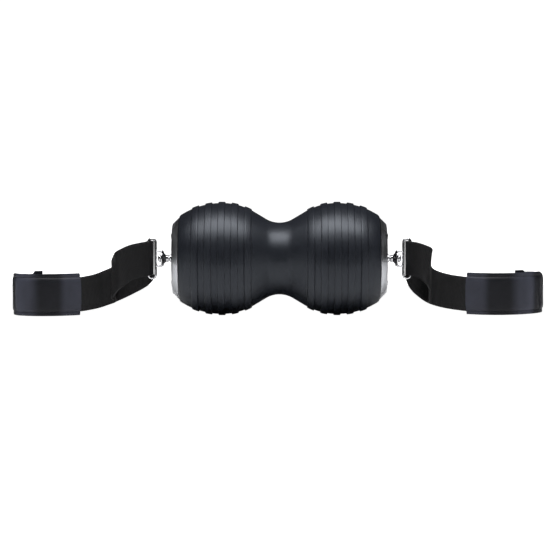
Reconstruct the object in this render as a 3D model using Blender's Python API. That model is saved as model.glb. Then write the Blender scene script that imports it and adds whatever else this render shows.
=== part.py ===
"""Vibrating double-ball massage roller with a webbing hand strap on a swivel ring at each end.

Metres, +Z up. The roller's axis runs along X; the origin is on the table under its middle.
"""

import math

import bmesh
import bpy
from mathutils import Vector

MM = 0.001

# Roller: a peanut of two balls joined by a waist, with five raised ridges round each ball
WAIST_R = 35.9 * MM
WAIST_ARC_R = 26.0 * MM
WAIST_ARC_END = 13.4 * MM
FLANK_SLOPE = math.radians(31.0)
CREST_X = 57.3 * MM
CREST_R = 55.45 * MM
INNER_BALL_ARC_R = 63.0 * MM
OUTER_BALL_ARC_R = 77.0 * MM
RIDGE_HEIGHT = 1.2 * MM
RIDGE_WIDTH = 6.85 * MM
RIDGE_PITCH = 13.17 * MM
RIDGES = 5
SLEEVE_END_X = 99.6 * MM
SLEEVE_WALL = 4.0 * MM
CORE_WALL = 2.6 * MM
GAP = 0.3 * MM
CORE_GAP = 0.6 * MM
ROUND_SIDES = 28
AXIS_Z = (CREST_R + RIDGE_HEIGHT) * math.cos(math.pi / ROUND_SIDES)

# Ends: trim ring, end cap and swivel pin, by distance from the middle
TRIM_X = (100.0 * MM, 106.5 * MM)
TRIM_R = (40.7 * MM, 34.5 * MM)
CAP_FACE_X = 105.8 * MM
CAP_BACK_X = 100.1 * MM
CAP_FLANGE_R = 37.1 * MM
CAP_R = 31.3 * MM
CORE_FLANGE_R = 20.0 * MM
CORE_FLANGE_X = (96.7 * MM, 99.6 * MM)
PIN_SHANK_R = 2.4 * MM
PIN_NECK_R = 2.0 * MM
PIN_HEAD_R = 4.0 * MM
SCREW_R = 1.5 * MM
SCREW_HOLE_R = 1.85 * MM
CAP_SCREW_CIRCLE_R = 26.5 * MM
BOARD_SCREW_CIRCLE_R = 27.0 * MM
SCREWS_ROUND = 3

# Swivel ring and its rectangular wire loop, which holds the webbing
NEAR_BAR_X = 123.8 * MM
FAR_BAR_X = 131.0 * MM
LOOP_HALF_HEIGHT = 19.85 * MM
LOOP_WIRE_R = 1.4 * MM
CAGE_WIRE_R = 1.35 * MM

# Controls in the left end cap
BUTTON_R = 4.9 * MM
BUTTON_Z = 13.2 * MM
SOCKET_Z = -15.5 * MM
SOCKET_R = 4.0 * MM
LENS_R = 1.5 * MM
LENS_PLACES = [(10.3 * MM, 12.3 * MM), (13.1 * MM, 9.2 * MM), (15.0 * MM, 5.5 * MM)]
BOARD_X = -89.0 * MM
BOARD_THICKNESS = 1.6 * MM
BOARD_R = 30.5 * MM

# Drive and power inside the core
MOTOR_R = 14.0 * MM
MOTOR_HALF = 19.0 * MM
SHAFT_R = 1.5 * MM
SHAFT_HALF = 33.5 * MM
WEIGHT_R = 16.0 * MM
WEIGHT_X = (22.5 * MM, 32.5 * MM)
CELL_R = 9.2 * MM
CELL_HALF = 32.5 * MM
CELL_X = (49.5 * MM, 70.5 * MM)
LEAD_R = 1.2 * MM
LEAD_NOTCH_Z = 22.0 * MM

# Hand straps: a closed webbing loop, on edge, with a padded grip round its far end
WEBBING_WIDTH = 34.5 * MM
WEBBING_THICKNESS = 1.8 * MM
GRIP_HEIGHT = 42.0 * MM
GRIP_CENTRE_Z = GRIP_HEIGHT / 2
PANEL_THICKNESS = 1.6 * MM
STEPS_PER_POINT = 3

# Each route runs from the ring's gap along the front leg, round the grip and back along the rear leg.
# A point is (distance from the middle, y, height of the webbing's centreline), in millimetres.
LEFT_ROUTE = [
    (127.0, 0.0, 56.5),
    (129.8, -5.4, 56.5),
    (137.3, -8.8, 55.5),
    (147.5, -13.7, 53.2),
    (156.8, -18.3, 48.1),
    (162.5, -13.4, 42.5),
    (166.5, -3.6, 35.2),
    (166.2, 2.5, 30.0),
    (174.8, 5.2, 26.1),
    (184.7, 1.8, 23.0),
    (199.5, -5.8, 20.8),
    (214.0, -12.5, 21.0),
    (230.0, -16.5, 21.0),
    (246.0, -15.5, 21.0),
    (260.0, -8.5, 21.0),
    (265.3, 3.0, 21.0),
    (262.3, 16.0, 21.0),
    (252.0, 24.0, 21.0),
    (240.0, 26.5, 21.0),
    (225.0, 25.0, 21.0),
    (205.0, 21.3, 18.7),
    (186.0, 17.2, 21.7),
    (167.0, 12.9, 29.0),
    (150.0, 8.8, 37.3),
    (138.5, 6.2, 44.6),
    (131.0, 5.6, 55.5),
]
RIGHT_ROUTE = [
    (127.0, 0.0, 56.5),
    (129.6, -5.4, 56.5),
    (135.6, -10.6, 55.9),
    (142.3, -13.9, 53.4),
    (147.4, -12.8, 50.2),
    (149.8, -7.0, 43.1),
    (150.4, 0.1, 33.7),
    (152.4, 7.1, 28.4),
    (158.7, 12.1, 25.1),
    (168.4, 11.7, 22.5),
    (178.2, 8.5, 21.2),
    (188.1, 4.1, 20.3),
    (204.0, -2.7, 20.7),
    (220.0, -4.5, 21.0),
    (236.0, -1.0, 21.0),
    (250.0, 7.5, 21.0),
    (261.5, 18.5, 21.0),
    (265.3, 29.0, 21.0),
    (260.5, 37.5, 21.0),
    (249.0, 38.5, 21.0),
    (240.0, 35.5, 21.0),
    (225.0, 30.5, 21.0),
    (205.0, 26.3, 19.7),
    (186.0, 23.7, 19.1),
    (168.0, 21.5, 22.1),
    (153.0, 17.5, 27.0),
    (142.0, 10.5, 36.2),
    (135.0, 8.3, 48.8),
    (130.0, 5.2, 55.6),
]
LEFT_GRIP = (10, 18)
RIGHT_GRIP = (11, 20)

for leftover in list(bpy.data.objects):
    bpy.data.objects.remove(leftover, do_unlink=True)


# ---------------------------------------------------------------- materials and meshes


def material(name, colour, roughness, metallic=0.0):
    made = bpy.data.materials.new(name)
    made.use_nodes = True
    shader = made.node_tree.nodes["Principled BSDF"]
    shader.inputs["Base Color"].default_value = (*colour, 1.0)
    shader.inputs["Roughness"].default_value = roughness
    shader.inputs["Metallic"].default_value = metallic
    return made


def add_object(name, bm, finish, place=(0.0, 0.0, 0.0), helper=False):
    """Makes an object of a bmesh, with its faces pointing out."""
    bmesh.ops.remove_doubles(bm, verts=bm.verts, dist=1e-7)
    bmesh.ops.recalc_face_normals(bm, faces=bm.faces)
    mesh = bpy.data.meshes.new(name)
    bm.to_mesh(mesh)
    bm.free()
    mesh.shade_smooth()
    mesh.set_sharp_from_angle(angle=math.radians(35))
    made = bpy.data.objects.new(name, mesh)
    made.location = place
    bpy.context.scene.collection.objects.link(made)
    if helper:
        made.hide_render = True
        made.display_type = "WIRE"
    else:
        mesh.materials.append(material(name, *finish))
    return made


def turned(name, profile, finish, place=(0.0, 0.0, AXIS_Z), sides=24, helper=False, closed=True):
    """A piece turned about an axis along X, from (x, radius) points: closed unless they end on the axis."""
    bm = bmesh.new()
    start = math.pi / sides
    points = [bm.verts.new((x, r * math.sin(start), r * math.cos(start))) for x, r in profile]
    edges = [bm.edges.new(pair) for pair in zip(points, points[1:])]
    if closed:
        edges.append(bm.edges.new((points[-1], points[0])))
    turn = {"cent": (0, 0, 0), "axis": (1, 0, 0), "angle": 2 * math.pi, "steps": sides}
    bmesh.ops.spin(bm, geom=points + edges, use_merge=True, **turn)
    return add_object(name, bm, finish, place, helper)


def rod(name, x_start, x_end, radius, finish, place, sides=16, helper=False):
    """A plain round bar along X."""
    profile = [(x_start, 0), (x_start, radius), (x_end, radius), (x_end, 0)]
    return turned(name, profile, finish, place, sides, helper, closed=False)


def tube_ring(x_start, x_end, inner, outer):
    """The closed profile of a plain ring."""
    return [(x_start, inner), (x_start, outer), (x_end, outer), (x_end, inner)]


def extruded(name, outline, x_start, x_end, finish, place):
    """An outline of (y, z) points, extruded along X."""
    bm = bmesh.new()
    face = bm.faces.new([bm.verts.new((x_start, y, z)) for y, z in outline])
    made = bmesh.ops.extrude_face_region(bm, geom=[face])["geom"]
    moved = [v for v in made if isinstance(v, bmesh.types.BMVert)]
    bmesh.ops.translate(bm, verts=moved, vec=(x_end - x_start, 0, 0))
    return add_object(name, bm, finish, place)


def swept(name, rings, finish, closed, helper=False):
    """A skin over a row of equal rings of points, closed on itself or capped at both ends."""
    bm = bmesh.new()
    rows = [[bm.verts.new(point) for point in ring] for ring in rings]
    around = len(rows[0])
    pairs = list(zip(rows, rows[1:]))
    if closed:
        pairs.append((rows[-1], rows[0]))
    for row, following in pairs:
        for i in range(around):
            j = (i + 1) % around
            bm.faces.new((row[i], row[j], following[j], following[i]))
    if not closed:
        bm.faces.new(rows[0])
        bm.faces.new(rows[-1])
    return add_object(name, bm, finish, helper=helper)


def wire(name, path, radius, finish, closed, sides=6, helper=False):
    """A round wire along a path of points; its first ring axis stays square to the path."""
    rings = []
    count = len(path)
    side = Vector((0, 1, 0))
    for i, point in enumerate(path):
        before = path[i - 1] if closed or i else path[i]
        after = path[(i + 1) % count] if closed or i < count - 1 else path[i]
        along = (after - before).normalized()
        side = (side - side.dot(along) * along).normalized()
        other = along.cross(side)
        angles = [2 * math.pi * k / sides for k in range(sides)]
        rings.append([point + radius * (math.cos(a) * side + math.sin(a) * other) for a in angles])
    return swept(name, rings, finish, closed, helper)


def boolean(target, other, operation):
    modifier = target.modifiers.new(operation.lower(), "BOOLEAN")
    modifier.operation = operation
    modifier.object = other


def smooth_path(points, closed, steps):
    """Points on a Catmull-Rom curve through the given ones."""
    count = len(points)
    found = []
    for i in range(count if closed else count - 1):
        if closed:
            p = [points[(i + k) % count] for k in (-1, 0, 1, 2)]
        else:
            p = [points[min(max(i + k, 0), count - 1)] for k in (-1, 0, 1, 2)]
        for step in range(steps):
            t = step / steps
            found.append(
                0.5
                * (
                    2 * p[1]
                    + (p[2] - p[0]) * t
                    + (2 * p[0] - 5 * p[1] + 4 * p[2] - p[3]) * t**2
                    + (3 * p[1] - p[0] - 3 * p[2] + p[3]) * t**3
                )
            )
    if not closed:
        found.append(points[-1])
    return found


# ---------------------------------------------------------------- roller profile


def base_radius(x):
    """The roller's radius between ridges at a distance x from the middle."""
    x = abs(x)
    if x <= WAIST_ARC_END:
        return WAIST_R + WAIST_ARC_R - math.sqrt(WAIST_ARC_R**2 - x**2)
    if x >= CREST_X:
        return CREST_R - OUTER_BALL_ARC_R + math.sqrt(OUTER_BALL_ARC_R**2 - (x - CREST_X) ** 2)
    tangent_x = CREST_X - INNER_BALL_ARC_R * math.sin(FLANK_SLOPE)
    if x >= tangent_x:
        return CREST_R - INNER_BALL_ARC_R + math.sqrt(INNER_BALL_ARC_R**2 - (CREST_X - x) ** 2)
    start = WAIST_R + WAIST_ARC_R - math.sqrt(WAIST_ARC_R**2 - WAIST_ARC_END**2)
    tangent_r = CREST_R - INNER_BALL_ARC_R * (1 - math.cos(FLANK_SLOPE))
    share = (x - WAIST_ARC_END) / (tangent_x - WAIST_ARC_END)
    return start + share * (tangent_r - start)


def inset_profile(depth, end_x, spacing=12.5 * MM):
    """(x, radius) points from -end_x to end_x, a depth inside the base profile."""
    steps = round(end_x / spacing)
    found = []
    for i in range(-steps, steps + 1):
        x = i * end_x / steps
        slope = (base_radius(x + 0.1 * MM) - base_radius(x - 0.1 * MM)) / (0.2 * MM)
        found.append((x, base_radius(x) - depth * math.sqrt(1 + slope**2)))
    return found


def ridged_profile():
    """(x, radius) points along the sleeve's outside, from one end to the other."""
    half = [(0.0, WAIST_R)]
    half += [(x * MM, base_radius(x * MM)) for x in (4.5, 9.0, 13.4, 19.0, 24.0)]
    for k in range(RIDGES):
        middle = CREST_X + (k - (RIDGES - 1) / 2) * RIDGE_PITCH
        low, high = middle - RIDGE_WIDTH / 2, middle + RIDGE_WIDTH / 2
        half.append((low, base_radius(low)))
        half.append((low + 0.3 * MM, base_radius(low) + RIDGE_HEIGHT))
        half.append((high - 0.3 * MM, base_radius(high) + RIDGE_HEIGHT))
        half.append((high, base_radius(high)))
    half += [(x * MM, base_radius(x * MM)) for x in (92.0, 98.0)]
    half.append((SLEEVE_END_X, base_radius(SLEEVE_END_X) - 1.6 * MM))
    return [(-x, r) for x, r in reversed(half[1:])] + half


# ---------------------------------------------------------------- finishes: colour, roughness, metallic

RUBBER = ((0.028, 0.032, 0.043), 0.45)
BLACK_PLASTIC = ((0.02, 0.02, 0.023), 0.4)
GREY_PLASTIC = ((0.25, 0.25, 0.26), 0.5)
SATIN_METAL = ((0.55, 0.56, 0.58), 0.3, 1.0)
CHROME = ((0.8, 0.8, 0.82), 0.1, 1.0)
STEEL = ((0.5, 0.5, 0.5), 0.35, 1.0)
BRASS = ((0.7, 0.5, 0.2), 0.3, 1.0)
CIRCUIT_GREEN = ((0.02, 0.16, 0.06), 0.5)
CELL_BLUE = ((0.03, 0.12, 0.4), 0.4)
LENS_WHITE = ((0.8, 0.85, 0.9), 0.2)
WEBBING_BLACK = ((0.01, 0.01, 0.012), 0.8)
GRIP_CHARCOAL = ((0.03, 0.03, 0.036), 0.6)
RED_LEAD = ((0.4, 0.02, 0.02), 0.5)

# ---------------------------------------------------------------- skin and core

sleeve_inside = inset_profile(SLEEVE_WALL, SLEEVE_END_X)
turned("rubber_sleeve", ridged_profile() + sleeve_inside[::-1], RUBBER, sides=ROUND_SIDES)


def screw_places(circle_r, first_angle):
    angles = [first_angle + 2 * math.pi * k / SCREWS_ROUND for k in range(SCREWS_ROUND)]
    return [(circle_r * math.cos(a), circle_r * math.sin(a)) for a in angles]


CAP_SCREW_PLACES = screw_places(CAP_SCREW_CIRCLE_R, 0)
BOARD_SCREW_PLACES = screw_places(BOARD_SCREW_CIRCLE_R, math.pi)


def at_axis(y, z):
    return (0.0, y, AXIS_Z + z)


def hole(target, name, x_start, x_end, radius, y, z):
    """Drills a round hole along X."""
    drill = rod(name, x_start, x_end, radius, None, at_axis(y, z), 10, helper=True)
    boolean(target, drill, "DIFFERENCE")


def core_profile():
    outside = inset_profile(SLEEVE_WALL + CORE_GAP, CORE_FLANGE_X[1])
    inside = inset_profile(SLEEVE_WALL + CORE_GAP + CORE_WALL, CORE_FLANGE_X[0])
    flange = [(CORE_FLANGE_X[1], CORE_FLANGE_R), (CORE_FLANGE_X[0], CORE_FLANGE_R)]
    return outside + flange + inside[::-1] + [(-x, r) for x, r in reversed(flange)]


def core_half(name, side):
    """One half of the moulded core, split along the plane through the roller's axis."""
    bm = bmesh.new()
    points = [bm.verts.new((x, 0, r)) for x, r in core_profile()]
    edges = [bm.edges.new((a, b)) for a, b in zip(points, points[1:] + points[:1])]
    spun = bmesh.ops.spin(
        bm, geom=points + edges, cent=(0, 0, 0), axis=(1, 0, 0), angle=-side * math.pi, steps=ROUND_SIDES // 2
    )
    last = [v for v in spun["geom_last"] if isinstance(v, bmesh.types.BMVert)]
    bm.faces.new(points)
    bm.faces.new([min(last, key=lambda v: (v.co - Vector((p.co.x, 0, -p.co.z))).length) for p in points])
    half = add_object(name, bm, BLACK_PLASTIC, (0.0, side * GAP / 2, AXIS_Z))
    for end in (-1, 1):
        places = CAP_SCREW_PLACES + (BOARD_SCREW_PLACES if end < 0 else [])
        for i, (y, z) in enumerate(places):
            if y * side > 0:
                low, high = sorted((end * 95 * MM, end * 101 * MM))
                hole(half, f"{name}_hole_{end}_{i}", low, high, SCREW_HOLE_R, y, z)
    return half


core_half("core_front", -1)
core_half("core_rear", 1)


# ---------------------------------------------------------------- ends


def mirrored(profile, end):
    return [(end * x, r) for x, r in profile]


for side_name, end in (("left", -1), ("right", 1)):
    trim = [
        (TRIM_X[0], TRIM_R[0]),
        (TRIM_X[1], TRIM_R[1]),
        (TRIM_X[1], CAP_R + GAP),
        (CAP_BACK_X + 2.9 * MM, CAP_R + GAP),
        (CAP_BACK_X + 2.9 * MM, CAP_FLANGE_R + GAP),
        (TRIM_X[0], CAP_FLANGE_R + GAP),
    ]
    turned(f"trim_ring_{side_name}", mirrored(trim, end), SATIN_METAL, sides=ROUND_SIDES)
    cap = turned(
        f"end_cap_{side_name}",
        mirrored(
            [
                (CAP_BACK_X, PIN_SHANK_R + GAP),
                (CAP_BACK_X, CAP_FLANGE_R),
                (CAP_BACK_X + 2.6 * MM, CAP_FLANGE_R),
                (CAP_BACK_X + 2.6 * MM, CAP_R),
                (CAP_FACE_X, CAP_R),
                (CAP_FACE_X, PIN_SHANK_R + GAP),
            ],
            end,
        ),
        BLACK_PLASTIC,
        sides=ROUND_SIDES,
    )
    for i, (y, z) in enumerate(CAP_SCREW_PLACES, 1):
        low, high = sorted((end * 98 * MM, end * 108 * MM))
        hole(cap, f"cap_hole_{side_name}_{i}", low, high, SCREW_HOLE_R, y, z)
        screw = [
            (97.2 * MM, 0),
            (97.2 * MM, SCREW_R),
            (CAP_FACE_X + GAP, SCREW_R),
            (CAP_FACE_X + GAP, 2.9 * MM),
            (CAP_FACE_X + 1.4 * MM, 2.6 * MM),
            (CAP_FACE_X + 1.8 * MM, 1.6 * MM),
            (CAP_FACE_X + 1.8 * MM, 0),
        ]
        turned(f"cap_screw_{side_name}_{i}", mirrored(screw, end), STEEL, at_axis(y, z), 12, closed=False)
    if end < 0:
        hole(cap, "button_hole", -108 * MM, -98 * MM, BUTTON_R + 0.35 * MM, 0, BUTTON_Z)
        hole(cap, "socket_hole", -108 * MM, -98 * MM, SOCKET_R + GAP, 0, SOCKET_Z)
        for i, (y, z) in enumerate(LENS_PLACES):
            hole(cap, f"lens_hole_{i}", -108 * MM, -98 * MM, LENS_R + GAP, y, z)

    pin = [
        (94.5 * MM, 0),
        (94.5 * MM, PIN_SHANK_R),
        (CAP_FACE_X + GAP, PIN_SHANK_R),
        (CAP_FACE_X + GAP, 3.6 * MM),
        (108.0 * MM, 4.1 * MM),
        (109.8 * MM, 3.6 * MM),
        (110.3 * MM, PIN_NECK_R),
        (118.9 * MM, PIN_NECK_R),
        (118.9 * MM, PIN_HEAD_R),
        (120.6 * MM, PIN_HEAD_R - 0.5 * MM),
        (121.4 * MM, 1.8 * MM),
        (121.6 * MM, 0),
    ]
    turned(f"swivel_pin_{side_name}", mirrored(pin, end), CHROME, sides=16, closed=False)
    washer = tube_ring(99.0 * MM, CAP_BACK_X - GAP, PIN_SHANK_R + GAP, 6.0 * MM)
    turned(f"pin_washer_{side_name}", mirrored(washer, end), STEEL, sides=16)
    nut_bore_r = (PIN_SHANK_R + GAP) / math.cos(math.pi / 6)
    nut = tube_ring(95.8 * MM, 98.7 * MM, nut_bore_r, 5.2 * MM)
    turned(f"pin_nut_{side_name}", mirrored(nut, end), STEEL, sides=6)

# ---------------------------------------------------------------- swivel rings


def swivel_ring(name, end):
    """The bell that turns on the pin, its cage round the pin's head and the wire loop, as one casting."""
    bell = [
        (110.7 * MM, PIN_NECK_R + GAP),
        (110.7 * MM, 3.5 * MM),
        (111.6 * MM, 3.9 * MM),
        (112.6 * MM, 3.3 * MM),
        (114.2 * MM, 4.3 * MM),
        (116.0 * MM, 6.6 * MM),
        (117.4 * MM, 7.8 * MM),
        (118.4 * MM, 7.8 * MM),
        (118.4 * MM, PIN_NECK_R + GAP),
    ]
    ring = turned(name, mirrored(bell, end), CHROME, sides=16)
    reach = (FAR_BAR_X - NEAR_BAR_X) / 2
    straight = LOOP_HALF_HEIGHT - reach
    middle_x = (NEAR_BAR_X + FAR_BAR_X) / 2
    path = [Vector((end * NEAR_BAR_X, 0, AXIS_Z + z)) for z in (-straight / 2, 0, straight / 2)]
    for first, z_middle in ((math.pi, straight), (0, -straight)):
        for k in range(9):
            a = first - math.pi * k / 8
            path.append(
                Vector((end * (middle_x + reach * math.cos(a)), 0, AXIS_Z + z_middle + reach * math.sin(a)))
            )
    loop = wire(f"{name}_loop", path, LOOP_WIRE_R, None, True, helper=True)
    boolean(ring, loop, "UNION")
    for way in (-1, 1):
        arm = [
            Vector((end * x * MM, 0, AXIS_Z + way * z * MM))
            for x, z in ((116.2, 5.2), (118.0, 7.2), (120.5, 7.75), (122.6, 7.4), (124.2, 6.6))
        ]
        strut = wire(f"{name}_arm_{way}", arm, CAGE_WIRE_R, None, False, helper=True)
        boolean(ring, strut, "UNION")
    return ring


swivel_ring("strap_ring_left", -1)
swivel_ring("strap_ring_right", 1)

# ---------------------------------------------------------------- drive

motor_can = tube_ring(-MOTOR_HALF, MOTOR_HALF, 3.9 * MM, MOTOR_R)
motor_can[1:3] = [
    (-MOTOR_HALF, MOTOR_R - 1.2 * MM),
    (-MOTOR_HALF + 1.2 * MM, MOTOR_R),
    (MOTOR_HALF - 1.2 * MM, MOTOR_R),
    (MOTOR_HALF, MOTOR_R - 1.2 * MM),
]
turned("motor", motor_can, STEEL)
for side_name, end in (("left", -1), ("right", 1)):
    bush = tube_ring(MOTOR_HALF - 5 * MM, MOTOR_HALF - 0.5 * MM, 1.8 * MM, 3.6 * MM)
    turned(f"motor_bush_{side_name}", mirrored(bush, end), BRASS, sides=16)
rod("rotor_shaft", -SHAFT_HALF, SHAFT_HALF, SHAFT_R, STEEL, at_axis(0, 0))

weight_arc = [math.radians(-172 + 164 * k / 12) for k in range(13)]
hub_arc = [math.radians(-8 + 196 * k / 6) for k in range(7)]
weight_outline = [(WEIGHT_R * math.cos(a), WEIGHT_R * math.sin(a)) for a in weight_arc]
weight_outline += [(5.0 * MM * math.cos(a), 5.0 * MM * math.sin(a)) for a in hub_arc]
for side_name, end in (("left", -1), ("right", 1)):
    low, high = sorted(end * x for x in WEIGHT_X)
    weight = extruded(f"eccentric_weight_{side_name}", weight_outline, low, high, STEEL, at_axis(0, 0))
    hole(weight, f"weight_hole_{side_name}", low - MM, high + MM, SHAFT_R + GAP, 0, 0)

mount_half = 10.0 * MM
mount = turned(
    "motor_mount",
    tube_ring(-mount_half, mount_half, MOTOR_R + GAP, WAIST_R - SLEEVE_WALL - CORE_GAP - CORE_WALL - 2 * GAP),
    GREY_PLASTIC,
)
hole(mount, "lead_notch", -mount_half - MM, mount_half + MM, LEAD_R + 0.8 * MM, 0, LEAD_NOTCH_Z)

# ---------------------------------------------------------------- power


def mm_outline(points):
    return [(y * MM, z * MM) for y, z in points]


holder_outline = mm_outline(
    [
        (12.3, -40.5),
        (12.3, 40.5),
        (9.8, 40.5),
        (9.8, 35.6),
        (-9.0, 35.6),
        (-9.0, 33.1),
        (9.8, 33.1),
        (9.8, -33.1),
        (-9.0, -33.1),
        (-9.0, -35.6),
        (9.8, -35.6),
        (9.8, -40.5),
    ]
)
extruded("battery_holder", holder_outline, 38 * MM, 82 * MM, BLACK_PLASTIC, at_axis(0, 0))
for i, x in enumerate(CELL_X, 1):
    cell = rod(f"battery_cell_{i}", -CELL_HALF, CELL_HALF, CELL_R, CELL_BLUE, (x, 0, AXIS_Z), sides=20)
    cell.rotation_euler = (0, math.pi / 2, 0)

board_low, board_high = BOARD_X - BOARD_THICKNESS / 2, BOARD_X + BOARD_THICKNESS / 2
board = turned("control_board", tube_ring(board_low, board_high, 8 * MM, BOARD_R), CIRCUIT_GREEN)
for i, (y, z) in enumerate(BOARD_SCREW_PLACES, 1):
    hole(board, f"board_hole_{i}", board_low - MM, board_high + MM, SCREW_HOLE_R, y, z)
    spacer = tube_ring(-CORE_FLANGE_X[0] + GAP, board_low - GAP, SCREW_HOLE_R, 3.2 * MM)
    turned(f"board_spacer_{i}", spacer, BRASS, at_axis(y, z), 12)
    board_screw = [
        (-99.3 * MM, 0),
        (-99.3 * MM, SCREW_R),
        (board_high + GAP, SCREW_R),
        (board_high + GAP, 2.8 * MM),
        (board_high + 1.9 * MM, 2.4 * MM),
        (board_high + 1.9 * MM, 0),
    ]
    turned(f"board_screw_{i}", board_screw, STEEL, at_axis(y, z), 12, closed=False)

switch_outline = mm_outline([(-3, -3), (3, -3), (3, 3), (-3, 3)])
extruded(
    "button_switch", switch_outline, -93.3 * MM, board_low - GAP, BLACK_PLASTIC, at_axis(0, BUTTON_Z)
)
button = [
    (-94.9 * MM, 0),
    (-94.9 * MM, 2.0 * MM),
    (-98.4 * MM, 2.0 * MM),
    (-98.4 * MM, 6.4 * MM),
    (-99.7 * MM, 6.4 * MM),
    (-99.7 * MM, BUTTON_R),
    (-106.9 * MM, BUTTON_R),
    (-107.4 * MM, BUTTON_R - 0.7 * MM),
    (-107.4 * MM, 0),
]
turned("power_button", button, GREY_PLASTIC, at_axis(0, BUTTON_Z), 20, closed=False)
socket = [
    (board_low - GAP, 0),
    (board_low - GAP, SOCKET_R),
    (-105.6 * MM, SOCKET_R),
    (-105.6 * MM, 2.9 * MM),
    (-97.0 * MM, 2.9 * MM),
    (-97.0 * MM, 1.0 * MM),
    (-104.8 * MM, 1.0 * MM),
    (-104.8 * MM, 0),
]
turned("charge_socket", socket, BLACK_PLASTIC, at_axis(0, SOCKET_Z), 16, closed=False)
for i, (y, z) in enumerate(LENS_PLACES, 1):
    rod(f"level_lens_{i}", -106.0 * MM, -98.5 * MM, LENS_R, LENS_WHITE, at_axis(y, z), sides=12)


def lead(name, points):
    places = [Vector(at_axis(y * MM, z * MM)) + Vector((x * MM, 0, 0)) for x, y, z in points]
    wire(name, smooth_path(places, False, 3), LEAD_R, RED_LEAD, False)


BATTERY_LEAD_RUN = [
    (37, 3, 26),
    (26, 1, 23),
    (10, 0, 22),
    (-10, 0, 22),
    (-30, 1, 23),
    (-50, 6, 25),
    (-72, 10, 20),
    (-86.5, 12, 9),
]
MOTOR_LEAD_RUN = [
    (-17, 0, -15.8),
    (-19, 0, -21),
    (-32, 0, -24),
    (-55, -3, -22),
    (-74, -8, -16),
    (-86.5, -12, -9),
]
lead("battery_lead", BATTERY_LEAD_RUN)
lead("motor_lead", MOTOR_LEAD_RUN)

# ---------------------------------------------------------------- hand straps


def strap_frames(route, end):
    """(centre, up, across) at each step of the closed loop.

    Where the webbing climbs or drops, its width leans half way from upright to square with its run,
    as webbing that twists a little does; the lean is evened out over neighbouring steps.
    """
    points = [Vector((end * u * MM, y * MM, z * MM)) for u, y, z in route]
    path = smooth_path(points, True, STEPS_PER_POINT)
    runs, leans = [], []
    for i in range(len(path)):
        along = (path[(i + 1) % len(path)] - path[i - 1]).normalized()
        square = (Vector((0, 0, 1)) - along.z * along).normalized()
        runs.append(along)
        leans.append(square + Vector((0, 0, 1)))
    frames = []
    for i, centre in enumerate(path):
        up = (leans[i - 1] + leans[i] + leans[(i + 1) % len(path)]).normalized()
        frames.append((centre, up, up.cross(runs[i]).normalized()))
    return frames


def band(name, frames, near, far, height, finish, closed, centre_z=None):
    """A flat band on edge, from near to far of the webbing's centreline, measured across it."""
    rings = []
    for centre, up, across in frames:
        if centre_z is not None:
            centre = Vector((centre.x, centre.y, centre_z))
            up = Vector((0, 0, 1))
            across = Vector((across.x, across.y, 0)).normalized()
        corners = ((near, -1), (far, -1), (far, 1), (near, 1))
        rings.append([centre + across * offset + up * (way * height / 2) for offset, way in corners])
    return swept(name, rings, finish, closed)


for side_name, end, route, grip in (
    ("left", -1, LEFT_ROUTE, LEFT_GRIP),
    ("right", 1, RIGHT_ROUTE, RIGHT_GRIP),
):
    frames = strap_frames(route, end)
    half = WEBBING_THICKNESS / 2
    band(f"webbing_{side_name}", frames, -half, half, WEBBING_WIDTH, WEBBING_BLACK, True)
    covered = frames[grip[0] * STEPS_PER_POINT : grip[1] * STEPS_PER_POINT + 1]
    near, far = half + GAP, half + GAP + PANEL_THICKNESS
    outward = end
    for panel, way in (("outer", outward), ("inner", -outward)):
        offsets = (way * near, way * far)
        band(f"grip_{panel}_{side_name}", covered, *offsets, GRIP_HEIGHT, GRIP_CHARCOAL, False, GRIP_CENTRE_Z)
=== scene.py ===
import math

import bmesh
import bpy
from mathutils import Matrix, Vector


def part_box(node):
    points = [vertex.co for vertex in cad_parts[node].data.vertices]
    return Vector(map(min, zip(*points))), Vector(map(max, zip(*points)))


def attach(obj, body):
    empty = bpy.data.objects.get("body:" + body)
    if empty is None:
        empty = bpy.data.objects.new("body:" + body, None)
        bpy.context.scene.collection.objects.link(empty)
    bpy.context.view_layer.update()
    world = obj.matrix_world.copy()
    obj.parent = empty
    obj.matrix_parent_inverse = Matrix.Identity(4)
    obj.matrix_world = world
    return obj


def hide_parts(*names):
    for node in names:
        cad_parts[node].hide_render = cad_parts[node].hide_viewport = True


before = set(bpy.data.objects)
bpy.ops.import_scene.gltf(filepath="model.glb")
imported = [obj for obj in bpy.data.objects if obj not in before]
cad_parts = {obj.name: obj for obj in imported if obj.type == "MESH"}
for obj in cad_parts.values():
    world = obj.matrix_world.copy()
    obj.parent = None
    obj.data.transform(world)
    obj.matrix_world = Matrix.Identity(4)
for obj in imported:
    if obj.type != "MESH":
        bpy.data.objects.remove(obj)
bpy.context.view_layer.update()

# ---- Camera and studio
# A long lens two metres away, a little above the table, square to the roller's side. A softbox hangs
# overhead and two dim strips stand beyond the front corners of a small white table. The backdrop and
# the tent glow by themselves, so they show white from every side but are not mirrored in the chrome.
MM = 0.001
camera_data = bpy.data.cameras.new("camera")
camera_data.lens = 128.6
camera = bpy.data.objects.new("camera", camera_data)
bpy.context.scene.collection.objects.link(camera)
bpy.context.scene.camera = camera
aim = Vector((0.5, 0, 34.7)) * MM
rise = math.radians(4.5)
back = Vector((0, -math.cos(rise), math.sin(rise)))
camera.location = aim + 2.0 * back
camera.rotation_mode = "QUATERNION"
camera.rotation_quaternion = back.to_track_quat("Z", "Y")
bpy.context.scene.view_settings.view_transform = "Standard"


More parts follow.
